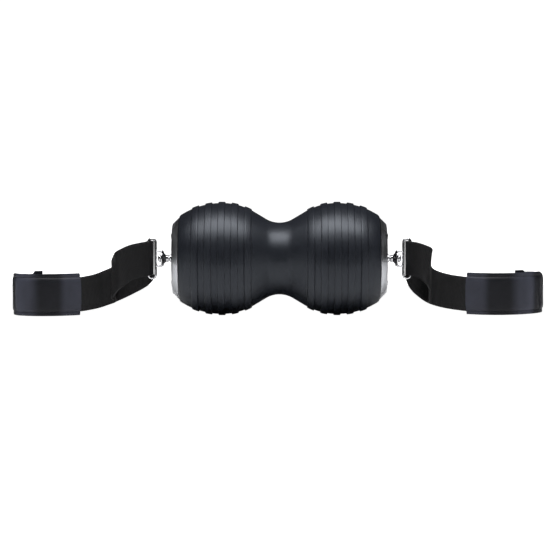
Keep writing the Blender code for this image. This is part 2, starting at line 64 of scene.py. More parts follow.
def sheet_of(outline, width):
    """A sheet drawn sideways from (y, z) points."""
    bm = bmesh.new()
    points = [bm.verts.new((-width / 2, y, z)) for y, z in outline]
    edges = [bm.edges.new(pair) for pair in zip(points, points[1:])]
    drawn = bmesh.ops.extrude_edge_only(bm, edges=edges)["geom"]
    moved = [g for g in drawn if isinstance(g, bmesh.types.BMVert)]
    bmesh.ops.translate(bm, verts=moved, vec=(width, 0, 0))
    return bm


def studio_paper(name, bm, glow):
    """A pale piece of the studio; glow is what its own lamps give it."""
    bmesh.ops.recalc_face_normals(bm, faces=bm.faces)
    mesh = bpy.data.meshes.new(name)
    bm.to_mesh(mesh)
    bm.free()
    mesh.shade_smooth()
    piece = bpy.data.objects.new(name, mesh)
    bpy.context.scene.collection.objects.link(piece)
    paper = bpy.data.materials.new(name + "_paper")
    paper.use_nodes = True
    shader = paper.node_tree.nodes["Principled BSDF"]
    shader.inputs["Base Color"].default_value = (0.86, 0.86, 0.86, 1)
    shader.inputs["Roughness"].default_value = 0.7
    shader.inputs["Emission Color"].default_value = (1, 1, 1, 1)
    shader.inputs["Emission Strength"].default_value = glow
    mesh.materials.append(paper)
    return piece


table = studio_paper("table_top", sheet_of([(-0.42, 0), (0.42, 0)], 1.1), 0.0)
table.visible_camera = False
tent = bmesh.new()
bmesh.ops.create_uvsphere(tent, u_segments=64, v_segments=32, radius=9)
sweep = sheet_of([(-5, -0.004), (2.6, -0.004), (3.6, 0.3), (4.1, 1.2), (4.1, 6)], 14)
for far in (studio_paper("backdrop", sweep, 1.0), studio_paper("tent", tent, 1.0)):
    far.visible_glossy = False
    far.visible_diffuse = False
    far.visible_shadow = False


def softbox(name, place, target, size, watts):
    """A rectangular lamp at a place, turned to its target."""
    lamp = bpy.data.lights.new(name, "AREA")
    lamp.shape = "RECTANGLE"
    lamp.size, lamp.size_y = size
    lamp.energy = watts
    box = bpy.data.objects.new(name, lamp)
    box.location = place
    box.rotation_mode = "QUATERNION"
    box.rotation_quaternion = (Vector(place) - Vector(target)).to_track_quat("Z", "Y")
    bpy.context.scene.collection.objects.link(box)


softbox("overhead_softbox", (0, -0.3, 1.3), (0, 0, 0), (1.7, 0.75), 28)
softbox("left_strip", (-1.15, -0.9, 0.0), (-0.1, 0, 0.03), (0.55, 0.7), 0.9)
softbox("right_strip", (1.15, -0.9, 0.0), (0.1, 0, 0.03), (0.55, 0.7), 0.9)
world = bpy.data.worlds.new("studio_air")
world.use_nodes = True
world.node_tree.nodes["Background"].inputs["Color"].default_value = (1, 1, 1, 1)
world.node_tree.nodes["Background"].inputs["Strength"].default_value = 0.03
bpy.context.scene.world = world

# ---- Rubber skin
# A moulded rubber sleeve over both balls and the waist, stretched over the core from one end.
# Five flat ridges stand 1.2 mm proud round each ball, with crisp feet and softened shoulders.
AXIS_Z = (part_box("rubber_sleeve")[0].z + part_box("rubber_sleeve")[1].z) / 2
WAIST_R = 35.9 * MM
WAIST_ARC_R = 26.0 * MM
WAIST_ARC_END = 13.4 * MM
FLANK_SLOPE = math.radians(31.0)
CREST_X = 57.3 * MM
CREST_R = 55.45 * MM
INNER_BALL_R = 63.0 * MM
OUTER_BALL_R = 77.0 * MM
RIDGE_HEIGHT = 1.2 * MM
RIDGE_WIDTH = 6.85 * MM
RIDGE_PITCH = 13.17 * MM
SKIN_THICK = 4.6 * MM
LIP_START = 98.0 * MM
SLEEVE_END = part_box("rubber_sleeve")[1].x


def skin_radius(x):
    """The radius between ridges at a distance x from the middle."""
    if x <= WAIST_ARC_END:
        return WAIST_R + WAIST_ARC_R - math.sqrt(WAIST_ARC_R**2 - x**2)
    if x >= CREST_X:
        return CREST_R - OUTER_BALL_R + math.sqrt(OUTER_BALL_R**2 - (x - CREST_X) ** 2)
    tangent = CREST_X - INNER_BALL_R * math.sin(FLANK_SLOPE)
    if x >= tangent:
        return CREST_R - INNER_BALL_R + math.sqrt(INNER_BALL_R**2 - (CREST_X - x) ** 2)
    start = WAIST_R + WAIST_ARC_R - math.sqrt(WAIST_ARC_R**2 - WAIST_ARC_END**2)
    tangent_r = CREST_R - INNER_BALL_R * (1 - math.cos(FLANK_SLOPE))
    return start + (x - WAIST_ARC_END) / (tangent - WAIST_ARC_END) * (tangent_r - start)


def finished(name, bm, finish, body, slot, *stands_for, sharp=38):
    """Makes a piece of a bmesh: faces out, smooth but for its sharp edges, riding on its body."""
    bmesh.ops.remove_doubles(bm, verts=bm.verts, dist=1e-7)
    bmesh.ops.recalc_face_normals(bm, faces=bm.faces)
    mesh = bpy.data.meshes.new(name)
    bm.to_mesh(mesh)
    bm.free()
    mesh.shade_smooth()
    mesh.set_sharp_from_angle(angle=math.radians(sharp))
    mesh.materials.append(finish)
    piece = bpy.data.objects.new(name, mesh)
    bpy.context.scene.collection.objects.link(piece)
    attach(piece, body)
    if stands_for:
        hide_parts(*stands_for)
    return piece


def turning(outline, centre, steps, closed=True):
    """A bmesh turned about an axis along X through centre, from (x, radius) points."""
    bm = bmesh.new()
    points = [bm.verts.new((x, centre[0], centre[1] + r)) for x, r in outline]
    edges = [bm.edges.new(pair) for pair in zip(points, points[1:])]
    if closed:
        edges.append(bm.edges.new((points[-1], points[0])))
    bmesh.ops.spin(
        bm,
        geom=points + edges,
        cent=(0, centre[0], centre[1]),
        axis=(1, 0, 0),
        angle=2 * math.pi,
        steps=steps,
        use_merge=True,
    )
    return bm


def new_material(name, colour, roughness, metallic=0.0, specular=0.5):
    """(material, its nodes, its links, its shader)"""
    made = bpy.data.materials.new(name)
    made.use_nodes = True
    nodes, links = made.node_tree.nodes, made.node_tree.links
    shader = nodes["Principled BSDF"]
    shader.inputs["Base Color"].default_value = (*colour, 1)
    shader.inputs["Roughness"].default_value = roughness
    shader.inputs["Metallic"].default_value = metallic
    shader.inputs["Specular IOR Level"].default_value = specular
    return made, nodes, links, shader


def noise(nodes, links, vector, scale, detail=3.0):
    """The factor socket of a noise on those coordinates."""
    made = nodes.new("ShaderNodeTexNoise")
    made.inputs["Scale"].default_value = scale
    made.inputs["Detail"].default_value = detail
    links.new(vector, made.inputs["Vector"])
    return made.outputs["Fac"]


def shine(nodes, links, shader, pattern, low, high):
    """Roughness that a pattern takes from low to high."""
    made = nodes.new("ShaderNodeMapRange")
    made.inputs["From Min"].default_value = 0.25
    made.inputs["From Max"].default_value = 0.75
    made.inputs["To Min"].default_value = low
    made.inputs["To Max"].default_value = high
    links.new(pattern, made.inputs["Value"])
    links.new(made.outputs["Result"], shader.inputs["Roughness"])


def tinted(nodes, links, pattern, dark, light):
    """A colour that a pattern takes from dark to light."""
    made = nodes.new("ShaderNodeMix")
    made.data_type = "RGBA"
    made.inputs["A"].default_value = (*dark, 1)
    made.inputs["B"].default_value = (*light, 1)
    links.new(pattern, made.inputs["Factor"])
    return made.outputs["Result"]


def coat(nodes, links, shader, pattern, dark, light):
    """Base colour that a pattern takes from dark to light."""
    links.new(tinted(nodes, links, pattern, dark, light), shader.inputs["Base Color"])


def relief(nodes, links, shader, height, distance, strength=1.0, under=None):
    """Bump of that depth in metres, on top of another bump's normal if one is given."""
    made = nodes.new("ShaderNodeBump")
    made.inputs["Distance"].default_value = distance
    made.inputs["Strength"].default_value = strength
    links.new(height, made.inputs["Height"])
    if under is not None:
        links.new(under, made.inputs["Normal"])
    links.new(made.outputs["Normal"], shader.inputs["Normal"])
    return made.outputs["Normal"]


def place_of(nodes):
    """The coordinates that are fixed to the piece."""
    return nodes.new("ShaderNodeTexCoord").outputs["Object"]


rubber, nodes, links, shader = new_material("moulded_rubber", (0.009, 0.0105, 0.015), 0.4, specular=0.5)
shader.inputs["Specular Tint"].default_value = (0.84, 0.9, 1.0, 1)
place = place_of(nodes)
cloudy = noise(nodes, links, place, 55, 4)
grain = noise(nodes, links, place, 2600, 2)
coat(nodes, links, shader, cloudy, (0.0075, 0.0088, 0.0125), (0.0115, 0.0132, 0.0185))
shine(nodes, links, shader, cloudy, 0.36, 0.45)
relief(nodes, links, shader, grain, 0.00006, 0.5)

half_skin = [(x * MM, skin_radius(x * MM)) for x in (0, 2, 4, 6, 8, 10, 12, 13.4, 16, 19, 22, 24.9, 26.5)]
for ridge in range(-2, 3):
    middle = CREST_X + ridge * RIDGE_PITCH
    for edge, way in ((middle - RIDGE_WIDTH / 2, 1), (middle + RIDGE_WIDTH / 2, -1)):
        shoulder = [(0.0, 0.0), (0.03, 0.72), (0.14, 0.98), (0.34, 1.13), (0.62, 1.2)]
        for inward, height in shoulder[::way]:
            x = edge + way * inward * MM
            half_skin.append((x, skin_radius(x) + height * MM))
        if way == 1:
            crown = [middle + s * MM for s in (-1.4, 0, 1.4)]
            half_skin += [(x, skin_radius(x) + RIDGE_HEIGHT) for x in crown]
    valley = [middle + s * MM for s in (5.0, 6.6, 8.2)]
    half_skin += [(x, skin_radius(x)) for x in valley]
half_skin = [(x, r) for x, r in half_skin if x < LIP_START - 0.5 * MM]
end_r = skin_radius(SLEEVE_END)
half_skin += [(LIP_START, skin_radius(LIP_START)), (LIP_START + 0.9 * MM, end_r + 0.15 * MM)]
half_skin += [(SLEEVE_END - 0.2 * MM, end_r - 0.45 * MM), (SLEEVE_END, end_r - 1.1 * MM)]
inside_skin = [(x * MM, skin_radius(x * MM) - SKIN_THICK) for x in (99.6, 88, 76, 64, 52, 40, 28, 16, 8, 0)]
outline = [(-x, r) for x, r in half_skin[:0:-1]] + half_skin
outline += inside_skin + [(-x, r) for x, r in inside_skin[-2::-1]]
bm = turning(outline, (0, AXIS_Z), 192)
finished("rubber_skin", bm, rubber, "roller", "rubber", "rubber_sleeve", sharp=32)

# ---- End trims
# A turned aluminium ring at each end, satin finished on the lathe, that traps the skin's lip.
# The cone carries fine turning lines; its two rims are lightly broken and polished bright.
trim, nodes, links, shader = new_material("satin_turned_aluminium", (0.56, 0.57, 0.6), 0.3, 1.0)
shader.inputs["Anisotropic"].default_value = 0.35
place = place_of(nodes)
split = nodes.new("ShaderNodeSeparateXYZ")
links.new(place, split.inputs["Vector"])
lines_along = nodes.new("ShaderNodeCombineXYZ")
links.new(split.outputs["X"], lines_along.inputs["X"])
turning_lines = noise(nodes, links, lines_along.outputs["Vector"], 5200, 2)
smudges = noise(nodes, links, place, 90, 3)
coat(nodes, links, shader, turning_lines, (0.5, 0.51, 0.535), (0.62, 0.63, 0.66))
shine(nodes, links, shader, smudges, 0.25, 0.36)
relief(nodes, links, shader, turning_lines, 0.00002, 0.35)

CAP_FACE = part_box("end_cap_right")[1].x
TRIM_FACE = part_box("trim_ring_right")[1].x
TRIM_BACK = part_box("trim_ring_right")[0].x
cone = [
    (TRIM_BACK, 37.5 * MM),
    (TRIM_BACK, 40.2 * MM),
    (TRIM_BACK + 0.12 * MM, 40.55 * MM),
    (TRIM_BACK + 0.5 * MM, 40.35 * MM),
    (TRIM_FACE - 0.9 * MM, 35.36 * MM),
    (TRIM_FACE - 0.35 * MM, 34.75 * MM),
    (TRIM_FACE - 0.08 * MM, 34.3 * MM),
    (TRIM_FACE, 33.9 * MM),
    (TRIM_FACE, 32.1 * MM),
    (TRIM_FACE - 0.15 * MM, 31.8 * MM),
    (TRIM_FACE - 0.5 * MM, 31.6 * MM),
    (TRIM_BACK + 3.0 * MM, 31.6 * MM),
    (TRIM_BACK + 3.0 * MM, 37.5 * MM),
]
ENDS = (("left", -1), ("right", 1))
for side, end in ENDS:
    bm = turning([(end * x, r) for x, r in cone], (0, AXIS_Z), 192)
    finished(f"trim_{side}", bm, trim, "roller", "trim_metal", f"trim_ring_{side}", sharp=25)

# ---- End caps, their screws and the controls
# A moulded disc closes each end inside its trim, held by three pan-head screws.
# The left one carries the push button, the charging socket and three small light pipes.
plastic, nodes, links, shader = new_material("moulded_black_plastic", (0.02, 0.02, 0.023), 0.42)
place = place_of(nodes)
shine(nodes, links, shader, noise(nodes, links, place, 120, 3), 0.36, 0.5)
spark = noise(nodes, links, place, 1900, 2)
coat(nodes, links, shader, spark, (0.017, 0.017, 0.02), (0.025, 0.025, 0.028))
relief(nodes, links, shader, spark, 0.00005, 0.5)

steel, nodes, links, shader = new_material("plain_steel", (0.52, 0.52, 0.53), 0.32, 1.0)
place = place_of(nodes)
shine(nodes, links, shader, noise(nodes, links, place, 700, 4), 0.24, 0.42)
relief(nodes, links, shader, noise(nodes, links, place, 3000, 2), 0.00002, 0.4)


def bored(piece, x, y, z, radius):
    """Cuts a round hole along X and applies the cut."""
    bm = bmesh.new()
    bmesh.ops.create_cone(bm, cap_ends=True, segments=48, radius1=radius, radius2=radius, depth=14 * MM)
    bmesh.ops.rotate(bm, verts=bm.verts, cent=(0, 0, 0), matrix=Matrix.Rotation(math.pi / 2, 3, "Y"))
    bmesh.ops.translate(bm, verts=bm.verts, vec=(x, y, AXIS_Z + z))
    mesh = bpy.data.meshes.new("drill")
    bm.to_mesh(mesh)
    bm.free()
    drill = bpy.data.objects.new("drill", mesh)
    bpy.context.scene.collection.objects.link(drill)
    cut = piece.modifiers.new("bore", "BOOLEAN")
    cut.operation = "DIFFERENCE"
    cut.object = drill
    bpy.context.view_layer.update()
    done = bpy.data.meshes.new_from_object(piece.evaluated_get(bpy.context.evaluated_depsgraph_get()))
    piece.modifiers.clear()
    piece.data = done
    bpy.data.objects.remove(drill)
    done.shade_smooth()
    done.set_sharp_from_angle(angle=math.radians(30))


def middle_of(node):
    """(y, z from the roller's axis) of a node's middle."""
    low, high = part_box(node)
    return (low.y + high.y) / 2, (low.z + high.z) / 2 - AXIS_Z


cap_outline = [
    (-5.7, 2.7),
    (-5.7, 37.1),
    (-3.1, 37.1),
    (-3.1, 31.3),
    (-0.5, 31.3),
    (-0.15, 31.15),
    (0.0, 30.8),
    (0.0, 22.6),
    (-0.35, 22.3),
    (-0.35, 21.9),
    (0.0, 21.6),
    (0.0, 8.4),
    (0.3, 8.0),
    (0.3, 5.4),
    (0.0, 5.0),
    (0.0, 2.7),
]
screw_outline = [(-8.5, 0), (-8.5, 1.5), (0.3, 1.5), (0.3, 2.7), (0.42, 2.9), (0.9, 2.9)]
screw_outline += [(1.45, 2.55), (1.8, 1.7), (1.8, 1.15), (0.9, 1.1), (0.9, 0)]
for side, end in ENDS:
    bm = turning([(end * (CAP_FACE + x * MM), r * MM) for x, r in cap_outline], (0, AXIS_Z), 144)
    cap = finished(f"cap_{side}", bm, plastic, "roller", "black_plastic", f"end_cap_{side}", sharp=30)
    for number in (1, 2, 3):
        node = f"cap_screw_{side}_{number}"
        y, z = middle_of(node)
        bored(cap, end * CAP_FACE, y, z, 1.85 * MM)
        screw = [(end * (CAP_FACE + x * MM), r * MM) for x, r in screw_outline]
        bm = turning(screw, (y, AXIS_Z + z), 36, False)
        finished(f"screw_{side}_{number}", bm, steel, "roller", "steel", node, sharp=30)
    if side == "left":
        bored(cap, -CAP_FACE, *middle_of("power_button"), 5.25 * MM)
        bored(cap, -CAP_FACE, *middle_of("charge_socket"), 4.3 * MM)
        for number in (1, 2, 3):
            bored(cap, -CAP_FACE, *middle_of(f"level_lens_{number}"), 1.8 * MM)

soft_grey, nodes, links, shader = new_material("soft_grey_plastic", (0.25, 0.25, 0.26), 0.45)
place = place_of(nodes)
shine(nodes, links, shader, noise(nodes, links, place, 160, 3), 0.38, 0.55)
relief(nodes, links, shader, noise(nodes, links, place, 2400, 2), 0.00004, 0.5)
button_outline = [(12.5, 0), (12.5, 2), (9.0, 2), (9.0, 6.4), (7.7, 6.4), (7.7, 4.9), (0.75, 4.9)]
button_outline += [(0.3, 4.75), (0.08, 4.4), (0.0, 3.9), (0.25, 2.2), (0.4, 0)]
y, z = middle_of("power_button")
low_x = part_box("power_button")[0].x
bm = turning([(low_x + x * MM, r * MM) for x, r in button_outline], (y, AXIS_Z + z), 64, False)
finished("push_button", bm, soft_grey, "button", "grey_plastic", "power_button", sharp=30)

y, z = middle_of("charge_socket")
low_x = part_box("charge_socket")[0].x
socket_outline = [(15.4, 0), (15.4, 4), (0.3, 4), (0.0, 3.7), (0.0, 3.1), (0.25, 2.9), (8.6, 2.9)]
socket_outline += [(8.6, 1.0), (1.2, 1.0), (0.85, 0.6), (0.8, 0)]
bm = turning([(low_x + x * MM, r * MM) for x, r in socket_outline], (y, AXIS_Z + z), 48, False)
finished("socket", bm, plastic, "roller", "black_plastic", "charge_socket", sharp=30)

milky, nodes, links, shader = new_material("milky_light_pipe", (0.8, 0.85, 0.9), 0.2)
shader.inputs["Subsurface Weight"].default_value = 0.3
shader.inputs["Subsurface Radius"].default_value = (0.001, 0.001, 0.001)
shine(nodes, links, shader, noise(nodes, links, place_of(nodes), 900, 2), 0.15, 0.28)
for number in (1, 2, 3):
    y, z = middle_of(f"level_lens_{number}")
    low_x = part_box(f"level_lens_{number}")[0].x
    pipe = [(7.5, 0), (7.5, 1.5), (0.5, 1.5), (0.2, 1.35), (0.03, 0.8), (0.0, 0)]
    bm = turning([(low_x + x * MM, r * MM) for x, r in pipe], (y, AXIS_Z + z), 32, False)
    finished(f"light_pipe_{number}", bm, milky, "roller", "lens", f"level_lens_{number}", sharp=30)

# ---- Swivel pins
# A turned and chromed pin stands out of each cap: a round collar, a thin neck for the bell
# to turn on, and a domed head that keeps the bell from pulling off.
chrome, nodes, links, shader = new_material("bright_chrome", (0.83, 0.83, 0.85), 0.09, 1.0)
place = place_of(nodes)
handled = noise(nodes, links, place, 260, 4)
shine(nodes, links, shader, handled, 0.06, 0.15)
coat(nodes, links, shader, handled, (0.74, 0.74, 0.77), (0.87, 0.87, 0.89))
relief(nodes, links, shader, noise(nodes, links, place, 420, 2), 0.00004, 0.25)
pin_outline = [
    (94.5, 0),
    (94.5, 2.2),
    (94.8, 2.4),
    (106.2, 2.4),
    (106.2, 3.3),
    (106.4, 3.55),
    (107.2, 3.95),
    (108.0, 4.1),
    (108.9, 3.95),
    (109.7, 3.5),
    (110.1, 2.6),
    (110.3, 2.0),
    (118.9, 2.0),
    (118.9, 3.7),
    (119.1, 3.95),
    (119.7, 4.0),
    (120.4, 3.6),
    (121.1, 2.6),
    (121.5, 1.3),
    (121.6, 0),
]
for side, end in ENDS:
    bm = turning([(end * x * MM, r * MM) for x, r in pin_outline], (0, AXIS_Z), 64, False)
    finished(f"pin_{side}", bm, chrome, "roller", "chrome", f"swivel_pin_{side}", sharp=40)

# ---- Strap rings
# One die casting each: a bell bored for the pin, a cage of two arms round the pin's head,
# and a tall narrow wire loop for the webbing. The cast shapes run into each other, then chrome.
NEAR_BAR = 123.8 * MM
WIRE_R = 1.4 * MM
FAR_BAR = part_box("strap_ring_right")[1].x - WIRE_R
ARM_R = 1.3 * MM
LOOP_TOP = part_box("strap_ring_right")[1].z - AXIS_Z - WIRE_R


def round_wire(bm, start, stops, radius):
    """Draws a wire on from a circle at start, facing +Z: each stop is a straight run or a bend."""
    ring = bmesh.ops.create_circle(bm, segments=20, radius=radius, cap_ends=False)["verts"]
    bmesh.ops.translate(bm, verts=ring, vec=start)
    edges = list({e for v in ring for e in v.link_edges})
    for stop in stops:
        if stop[0] == "run":
            drawn = bmesh.ops.extrude_edge_only(bm, edges=edges)["geom"]
            moved = [g for g in drawn if isinstance(g, bmesh.types.BMVert)]
            bmesh.ops.translate(bm, verts=moved, vec=stop[1])
            edges = [e for e in drawn if isinstance(e, bmesh.types.BMEdge)]
        else:
            drawn = bmesh.ops.spin(bm, geom=edges, cent=stop[1], axis=(0, 1, 0), angle=stop[2], steps=14)
            edges = [e for e in drawn["geom_last"] if isinstance(e, bmesh.types.BMEdge)]


bell = [(110.7, 2.25), (110.7, 3.3), (110.95, 3.65), (111.6, 3.9), (112.2, 3.6), (112.6, 3.3), (113.3, 3.6)]
bell += [(114.2, 4.3), (115.2, 5.5), (116.2, 6.9), (117.2, 7.7), (118.1, 7.6), (118.4, 7.2), (118.4, 2.25)]
for side, end in ENDS:
    bm = turning([(end * x * MM, r * MM) for x, r in bell], (0, AXIS_Z), 48)
    bend = (FAR_BAR - NEAR_BAR) / 2
    straight = LOOP_TOP - bend
    top = (end * (NEAR_BAR + bend), 0, AXIS_Z + straight)
    foot = (top[0], 0, AXIS_Z - straight)
    route = [
        ("run", (0, 0, 2 * straight)),
        ("bend", top, end * math.pi),
        ("run", (0, 0, -2 * straight)),
        ("bend", foot, end * math.pi),
    ]
    round_wire(bm, (end * NEAR_BAR, 0, AXIS_Z - straight), route, WIRE_R)
    for way in (-1, 1):
        arm = []
        for x, z in ((116.0, 5.6), (117.3, 6.9), (119.0, 7.55), (121.0, 7.7), (122.6, 7.3), (123.9, 6.4)):
            arm.append(Vector((end * x * MM, 0, AXIS_Z + way * z * MM)))
        for begin, finish_at in zip(arm, arm[1:]):
            along = finish_at - begin
            turn = along.to_track_quat("Z", "Y").to_matrix().to_4x4()
            strut = bmesh.ops.create_cone(
                bm, cap_ends=True, segments=16, radius1=ARM_R, radius2=ARM_R, depth=along.length
            )["verts"]
            bmesh.ops.transform(bm, matrix=Matrix.Translation((begin + finish_at) / 2) @ turn, verts=strut)
            ball = bmesh.ops.create_uvsphere(bm, u_segments=16, v_segments=10, radius=ARM_R)["verts"]
            bmesh.ops.translate(bm, verts=ball, vec=finish_at)
    piece = finished(
        f"swivel_ring_{side}", bm, chrome, f"{side}_ring", "chrome", f"strap_ring_{side}", sharp=180
    )
    cast = piece.modifiers.new("cast", "REMESH")
    cast.mode = "VOXEL"
    cast.voxel_size = 0.3 * MM
    cast.use_smooth_shade = True
    fair = piece.modifiers.new("fair", "SMOOTH")
    fair.factor = 0.5
    fair.iterations = 4

# ---- Webbing loops
# Heavy black nylon webbing, 34.5 mm wide and 1.8 mm thick, sewn into one loop through the ring.
# It stands on edge: the front leg springs out and curls back down to the grip, the rear runs straight.
weave, nodes, links, shader = new_material("nylon_webbing", (0.006, 0.006, 0.007), 0.6, specular=0.3)
shader.inputs["Sheen Weight"].default_value = 0.03
shader.inputs["Sheen Roughness"].default_value = 0.5
uv = nodes.new("ShaderNodeUVMap")
uv.uv_map = "weave"


def ribs(nodes, links, vector, direction, per_metre, warp):
    """Rows of yarn along one direction of the weave."""
    made = nodes.new("ShaderNodeTexWave")
    made.wave_type = "BANDS"
    made.bands_direction = direction
    made.inputs["Scale"].default_value = per_metre
    made.inputs["Distortion"].default_value = warp
    made.inputs["Detail"].default_value = 1.0
    made.inputs["Detail Scale"].default_value = 3.0
    links.new(vector, made.inputs["Vector"])
    return made.outputs["Fac"]


def sum_of(nodes, links, a, b, share):
    """Two patterns laid together, b in its share."""
    made = nodes.new("ShaderNodeMix")
    made.inputs["Factor"].default_value = share
    links.new(a, made.inputs["A"])
    links.new(b, made.inputs["B"])
    return made.outputs["Result"]


across_yarn = ribs(nodes, links, uv.outputs["UV"], "Y", 210, 0.4)
along_yarn = ribs(nodes, links, uv.outputs["UV"], "X", 260, 0.4)
yarn = sum_of(nodes, links, across_yarn, along_yarn, 0.4)
coat(nodes, links, shader, yarn, (0.0025, 0.0025, 0.003), (0.0075, 0.0075, 0.0088))
fuzz = noise(nodes, links, uv.outputs["UV"], 4200, 3)
under = relief(nodes, links, shader, yarn, 0.0003, 0.6)
relief(nodes, links, shader, fuzz, 0.00008, 0.5, under)

WEB_WIDTH = 34.5 * MM
WEB_THICK = 1.8 * MM
LEFT_ROUTE = [
    (126.4, 0.0, 56.5),
    (129.8, -5.4, 56.5),
    (137.3, -8.8, 55.5),
    (147.5, -13.7, 53.2),
    (156.8, -18.3, 48.1),
    (162.5, -13.4, 42.5),
    (166.5, -3.6, 35.2),
    (166.2, 2.5, 30.0),
    (174.8, 5.2, 26.1),
    (184.7, 1.8, 23.0),
    (199.5, -5.8, 20.8),
    (214.0, -12.5, 21.0),
    (230.0, -16.5, 21.0),
    (246.0, -15.5, 21.0),
    (260.0, -8.5, 21.0),
    (265.3, 3.0, 21.0),
    (262.3, 16.0, 21.0),
    (252.0, 24.0, 21.0),
    (240.0, 26.5, 21.0),
    (225.0, 25.0, 21.0),
    (205.0, 21.3, 18.7),
    (186.0, 17.2, 21.7),
    (167.0, 12.9, 29.0),
    (150.0, 8.8, 37.3),
    (138.5, 6.2, 44.6),
    (131.0, 5.6, 55.5),
]
RIGHT_ROUTE = [
    (126.4, 0.0, 56.5),
    (129.6, -5.4, 56.5),
    (135.6, -10.6, 55.9),
    (142.3, -13.9, 53.4),
    (147.4, -12.8, 50.2),
    (149.8, -7.0, 43.1),
    (150.4, 0.1, 33.7),
    (152.4, 7.1, 28.4),
    (158.7, 12.1, 25.1),
    (168.4, 11.7, 22.5),
    (178.2, 8.5, 21.2),
    (188.1, 4.1, 20.3),
    (204.0, -2.7, 20.7),
    (220.0, -4.5, 21.0),
    (236.0, -1.0, 21.0),
    (250.0, 7.5, 21.0),
    (261.5, 18.5, 21.0),
    (265.3, 29.0, 21.0),
    (260.5, 37.5, 21.0),
    (249.0, 38.5, 21.0),
    (240.0, 35.5, 21.0),
    (225.0, 30.5, 21.0),
    (205.0, 26.3, 19.7),
    (186.0, 23.7, 19.1),
    (168.0, 21.5, 22.1),
    (153.0, 17.5, 27.0),
    (142.0, 10.5, 36.2),
    (135.0, 8.3, 48.8),
    (130.0, 5.2, 55.6),
]
STEPS_A_STRETCH = 12


def smooth_route(route, end):
    """Points on a smooth closed curve through a strap's route."""
    points = [Vector((end * u, y, z)) * MM for u, y, z in route]
    found = []
    for i in range(len(points)):
        a, b, c, d = (points[(i + k) % len(points)] for k in (-1, 0, 1, 2))
        for step in range(STEPS_A_STRETCH):
            t = step / STEPS_A_STRETCH
            bend = (2 * a - 5 * b + 4 * c - d) * t**2
            twist = (3 * b - a - 3 * c + d) * t**3
            found.append(0.5 * (2 * b + (c - a) * t + bend + twist))
    return found


def lay_of(path):
    """(matrix, run) at each point of a closed path: X across the band, Y up its width, Z on along it.

    The width leans half way from upright to square with the run, evened out over a few steps.
    """
    count, upright = len(path), Vector((0, 0, 1))
    runs = [(path[(i + 1) % count] - path[i - 1]).normalized() for i in range(count)]
    leans = [(upright - along.z * along).normalized() + upright for along in runs]
    found, run = [], 0.0
    for i, centre in enumerate(path):
        up = sum((leans[(i + k) % count] for k in range(-4, 5)), Vector()).normalized()
        turn = Matrix((up.cross(runs[i]).normalized(), up, runs[i])).transposed().to_4x4()
        if found:
            run += (centre - found[-1][0].translation).length
        found.append((Matrix.Translation(centre) @ turn, run))
    return found


def drawn_band(bm, section, lay, closed):
    """Draws a closed section of (across, up) points along a lay; returns its first and last edges."""
    run_layer = bm.verts.layers.float.get("run") or bm.verts.layers.float.new("run")
    wrap_layer = bm.verts.layers.float.get("wrap") or bm.verts.layers.float.new("wrap")
    ring, wrap = [], 0.0
    for i, (across, up) in enumerate(section):
        if i:
            wrap += math.dist(section[i - 1], section[i])
        v = bm.verts.new(lay[0][0] @ Vector((across, up, 0)))
        v[wrap_layer] = wrap
        v[run_layer] = 0.0
        ring.append(v)
    first = [bm.edges.new((ring[i - 1], ring[i])) for i in range(len(ring))]
    edges, before = first, lay[0][0]
    for matrix, run in lay[1:]:
        drawn = bmesh.ops.extrude_edge_only(bm, edges=edges)["geom"]
        moved = [g for g in drawn if isinstance(g, bmesh.types.BMVert)]
        bmesh.ops.transform(bm, matrix=matrix @ before.inverted(), verts=moved)
        for v in moved:
            v[run_layer] = run
        edges = [e for e in drawn if isinstance(e, bmesh.types.BMEdge)]
        before = matrix
    if closed:
        bmesh.ops.bridge_loops(bm, edges=first + edges)
    return first, edges


def map_weave(bm, total_run, total_wrap, scale=1.0):
    """Lays the weave's UV map over a drawn band, in metres along and round it, or scaled."""
    run_layer, wrap_layer = bm.verts.layers.float["run"], bm.verts.layers.float["wrap"]
    uv_layer = bm.loops.layers.uv.new("weave")
    for face in bm.faces:
        runs = [loop.vert[run_layer] for loop in face.loops]
        wraps = [loop.vert[wrap_layer] for loop in face.loops]
        for loop, run, wrap in zip(face.loops, runs, wraps):
            if max(runs) - run > total_run / 2:
                run += total_run
            if max(wraps) - wrap > total_wrap / 2:
                wrap += total_wrap
            loop[uv_layer].uv = (wrap * scale, run * scale)


flat_half = WEB_WIDTH / 2 - 0.5 * MM
side_rows = [flat_half * k / 8 for k in range(-8, 9)]
shoulder_up = WEB_WIDTH / 2 - 0.12 * MM
selvedge = [(-0.62 * MM, shoulder_up), (0, WEB_WIDTH / 2), (0.62 * MM, shoulder_up)]
web_section = [(-WEB_THICK / 2, z) for z in side_rows] + selvedge
web_section += [(WEB_THICK / 2, z) for z in side_rows[::-1]] + [(-a, -z) for a, z in selvedge]
web_round = sum(math.dist(a, b) for a, b in zip(web_section, web_section[1:] + web_section[:1]))
routes = {"left": smooth_route(LEFT_ROUTE, -1), "right": smooth_route(RIGHT_ROUTE, 1)}
for side, end in ENDS:
    lay = lay_of(routes[side])
    bm = bmesh.new()
    drawn_band(bm, web_section, lay, True)
    length = lay[-1][1] + (routes[side][0] - routes[side][-1]).length
    map_weave(bm, length, web_round)
    strap = finished(f"strap_{side}", bm, weave, f"{side}_handle", "webbing", f"webbing_{side}", sharp=60)

